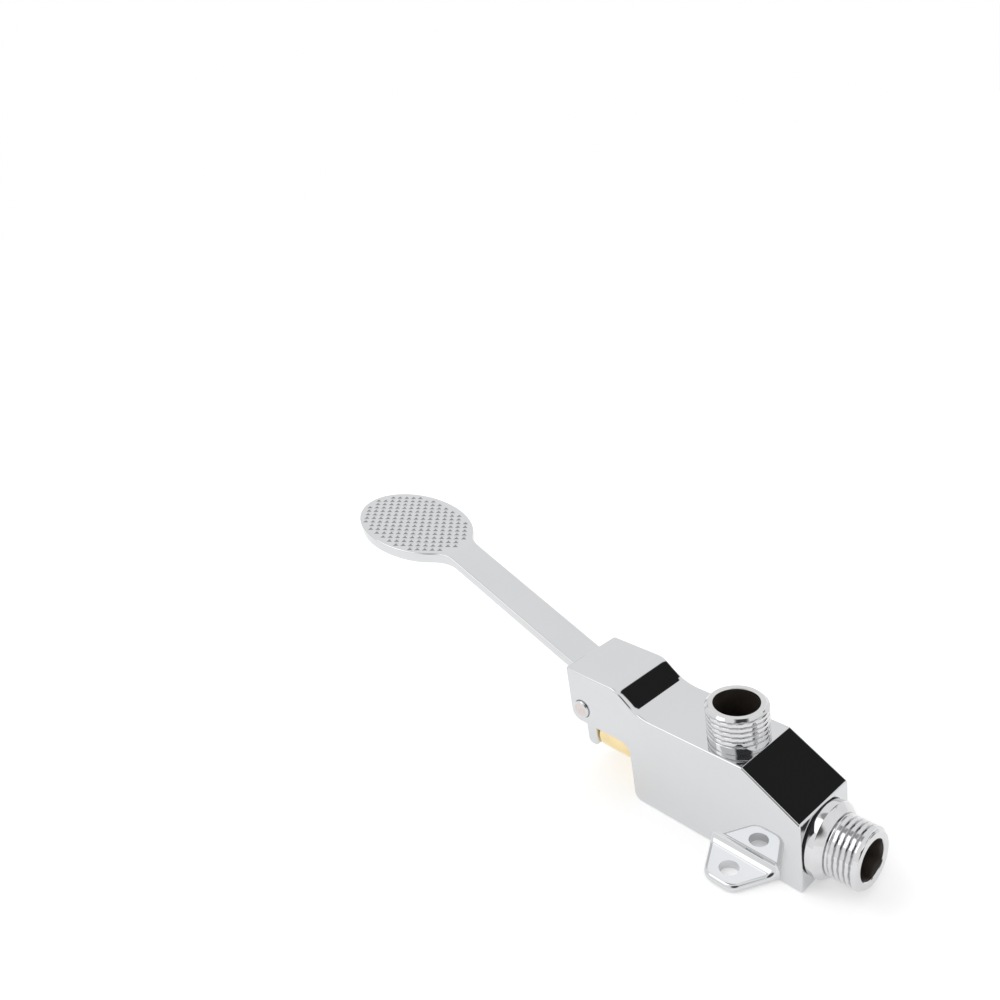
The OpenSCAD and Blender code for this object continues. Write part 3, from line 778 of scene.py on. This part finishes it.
# Each dark panel: its direction, the radii in degrees where it is full and where it ends, and its level
DARK_PANELS = [((0.31, 0.62, 0.72), 11.5, 14.5, 0.02), ((0.33, 0.76, 0.56), 12, 15, 0.02),
               ((0.62, -0.48, 0.62), 19, 28, 0.06), ((-0.23, 0.13, 0.965), 11, 15, 0.4)]

# Floor: half its side, its grey, and the glow that camera, glossy and transmission rays see
FLOOR_HALF = 9000
FLOOR_GREY = 0.86
FLOOR_GLOW = 0.36

# Camera: its turn, height and roll in degrees, lens in millimetres, aim and distance in metres
CAM_TURN = 53.36
CAM_HEIGHT = 21.01
CAM_ROLL = -9.62
CAM_LENS = 32.36
CAM_AIM = (-0.28676, 0.12485, 0.0207)
CAM_DISTANCE = 0.58232

# Key lamp: its place, aim and diameter in metres, and its power in watts
KEY_PLACE = (-0.9, -0.9, 1.9)
KEY_AIM = (-0.05, 0, 0.03)
KEY_SIZE = 1.6
KEY_POWER = 5.0


def make_floor():
    """A pale floor that looks white to the camera and in the metal, and keeps the object's shadow."""
    h = FLOOR_HALF
    floor = mesh_object("floor", [(-h, -h, 0), (h, -h, 0), (h, h, 0), (-h, h, 0)], [(0, 1, 2, 3)])
    mat = bpy.data.materials.new("floor_pale")
    mat.use_nodes = True
    nt = mat.node_tree
    bsdf = nt.nodes["Principled BSDF"]
    bsdf.inputs["Base Color"].default_value = (FLOOR_GREY, FLOOR_GREY, FLOOR_GREY, 1)
    bsdf.inputs["Roughness"].default_value = 0.9
    bsdf.inputs["Specular IOR Level"].default_value = 0.0
    out = nt.nodes["Material Output"]
    glow = nt.nodes.new("ShaderNodeEmission")
    glow.inputs["Strength"].default_value = FLOOR_GLOW
    add = nt.nodes.new("ShaderNodeAddShader")
    mix = nt.nodes.new("ShaderNodeMixShader")
    path = nt.nodes.new("ShaderNodeLightPath")
    seen = path.outputs["Is Camera Ray"]
    for ray in ("Is Glossy Ray", "Is Transmission Ray"):
        either = nt.nodes.new("ShaderNodeMath")
        either.operation = "MAXIMUM"
        nt.links.new(seen, either.inputs[0])
        nt.links.new(path.outputs[ray], either.inputs[1])
        seen = either.outputs[0]
    nt.links.new(bsdf.outputs[0], add.inputs[0])
    nt.links.new(glow.outputs[0], add.inputs[1])
    nt.links.new(seen, mix.inputs[0])
    nt.links.new(bsdf.outputs[0], mix.inputs[1])
    nt.links.new(add.outputs[0], mix.inputs[2])
    nt.links.new(mix.outputs[0], out.inputs["Surface"])
    floor.data.materials.append(mat)


def make_world():
    """Soft white surroundings with dark panels overhead."""
    world = bpy.data.worlds.new("studio")
    world.use_nodes = True
    nt = world.node_tree
    back = nt.nodes["Background"]
    back.inputs["Color"].default_value = (1, 1, 1, 1)
    coord = nt.nodes.new("ShaderNodeTexCoord")
    level = back.inputs["Strength"]
    for direction, inner, outer, dark in DARK_PANELS:
        dot = nt.nodes.new("ShaderNodeVectorMath")
        dot.operation = "DOT_PRODUCT"
        dot.inputs[1].default_value = Vector(direction).normalized()
        nt.links.new(coord.outputs["Generated"], dot.inputs[0])
        ramp = nt.nodes.new("ShaderNodeMapRange")
        ramp.interpolation_type = "SMOOTHSTEP"
        ramp.inputs["From Min"].default_value = math.cos(math.radians(outer))
        ramp.inputs["From Max"].default_value = math.cos(math.radians(inner))
        ramp.inputs["To Min"].default_value = 1.0
        ramp.inputs["To Max"].default_value = dark
        nt.links.new(dot.outputs["Value"], ramp.inputs["Value"])
        both = nt.nodes.new("ShaderNodeMath")
        both.operation = "MINIMUM"
        both.inputs[1].default_value = 1.0
        nt.links.new(ramp.outputs["Result"], both.inputs[0])
        nt.links.new(both.outputs[0], level)
        level = both.inputs[1]
    scene.world = world


def make_camera():
    """The camera at the photograph's viewing angle."""
    az, el, roll = math.radians(CAM_TURN), math.radians(CAM_HEIGHT), math.radians(CAM_ROLL)
    back = Vector((math.sin(az) * math.cos(el), -math.cos(az) * math.cos(el), math.sin(el)))
    right = Vector((math.cos(az), math.sin(az), 0))
    up = back.cross(right)
    rolled_right = right * math.cos(roll) + up * math.sin(roll)
    rolled_up = up * math.cos(roll) - right * math.sin(roll)
    data = bpy.data.cameras.new("camera")
    data.sensor_width, data.lens = 36.0, CAM_LENS
    data.clip_start = 0.01
    cam = bpy.data.objects.new("camera", data)
    axes = Matrix((rolled_right, rolled_up, back)).transposed().to_4x4()
    cam.matrix_world = Matrix.Translation(Vector(CAM_AIM) + back * CAM_DISTANCE) @ axes
    scene.collection.objects.link(cam)
    scene.camera = cam


def make_lamp(name, place, target, size, power):
    data = bpy.data.lights.new(name, "AREA")
    data.shape, data.size, data.energy = "DISK", size, power
    lamp = bpy.data.objects.new(name, data)
    lamp.location = place
    lamp.rotation_euler = (Vector(target) - Vector(place)).to_track_quat("-Z", "Y").to_euler()
    scene.collection.objects.link(lamp)


make_floor()
make_world()
make_camera()
make_lamp("key", KEY_PLACE, KEY_AIM, KEY_SIZE, KEY_POWER)
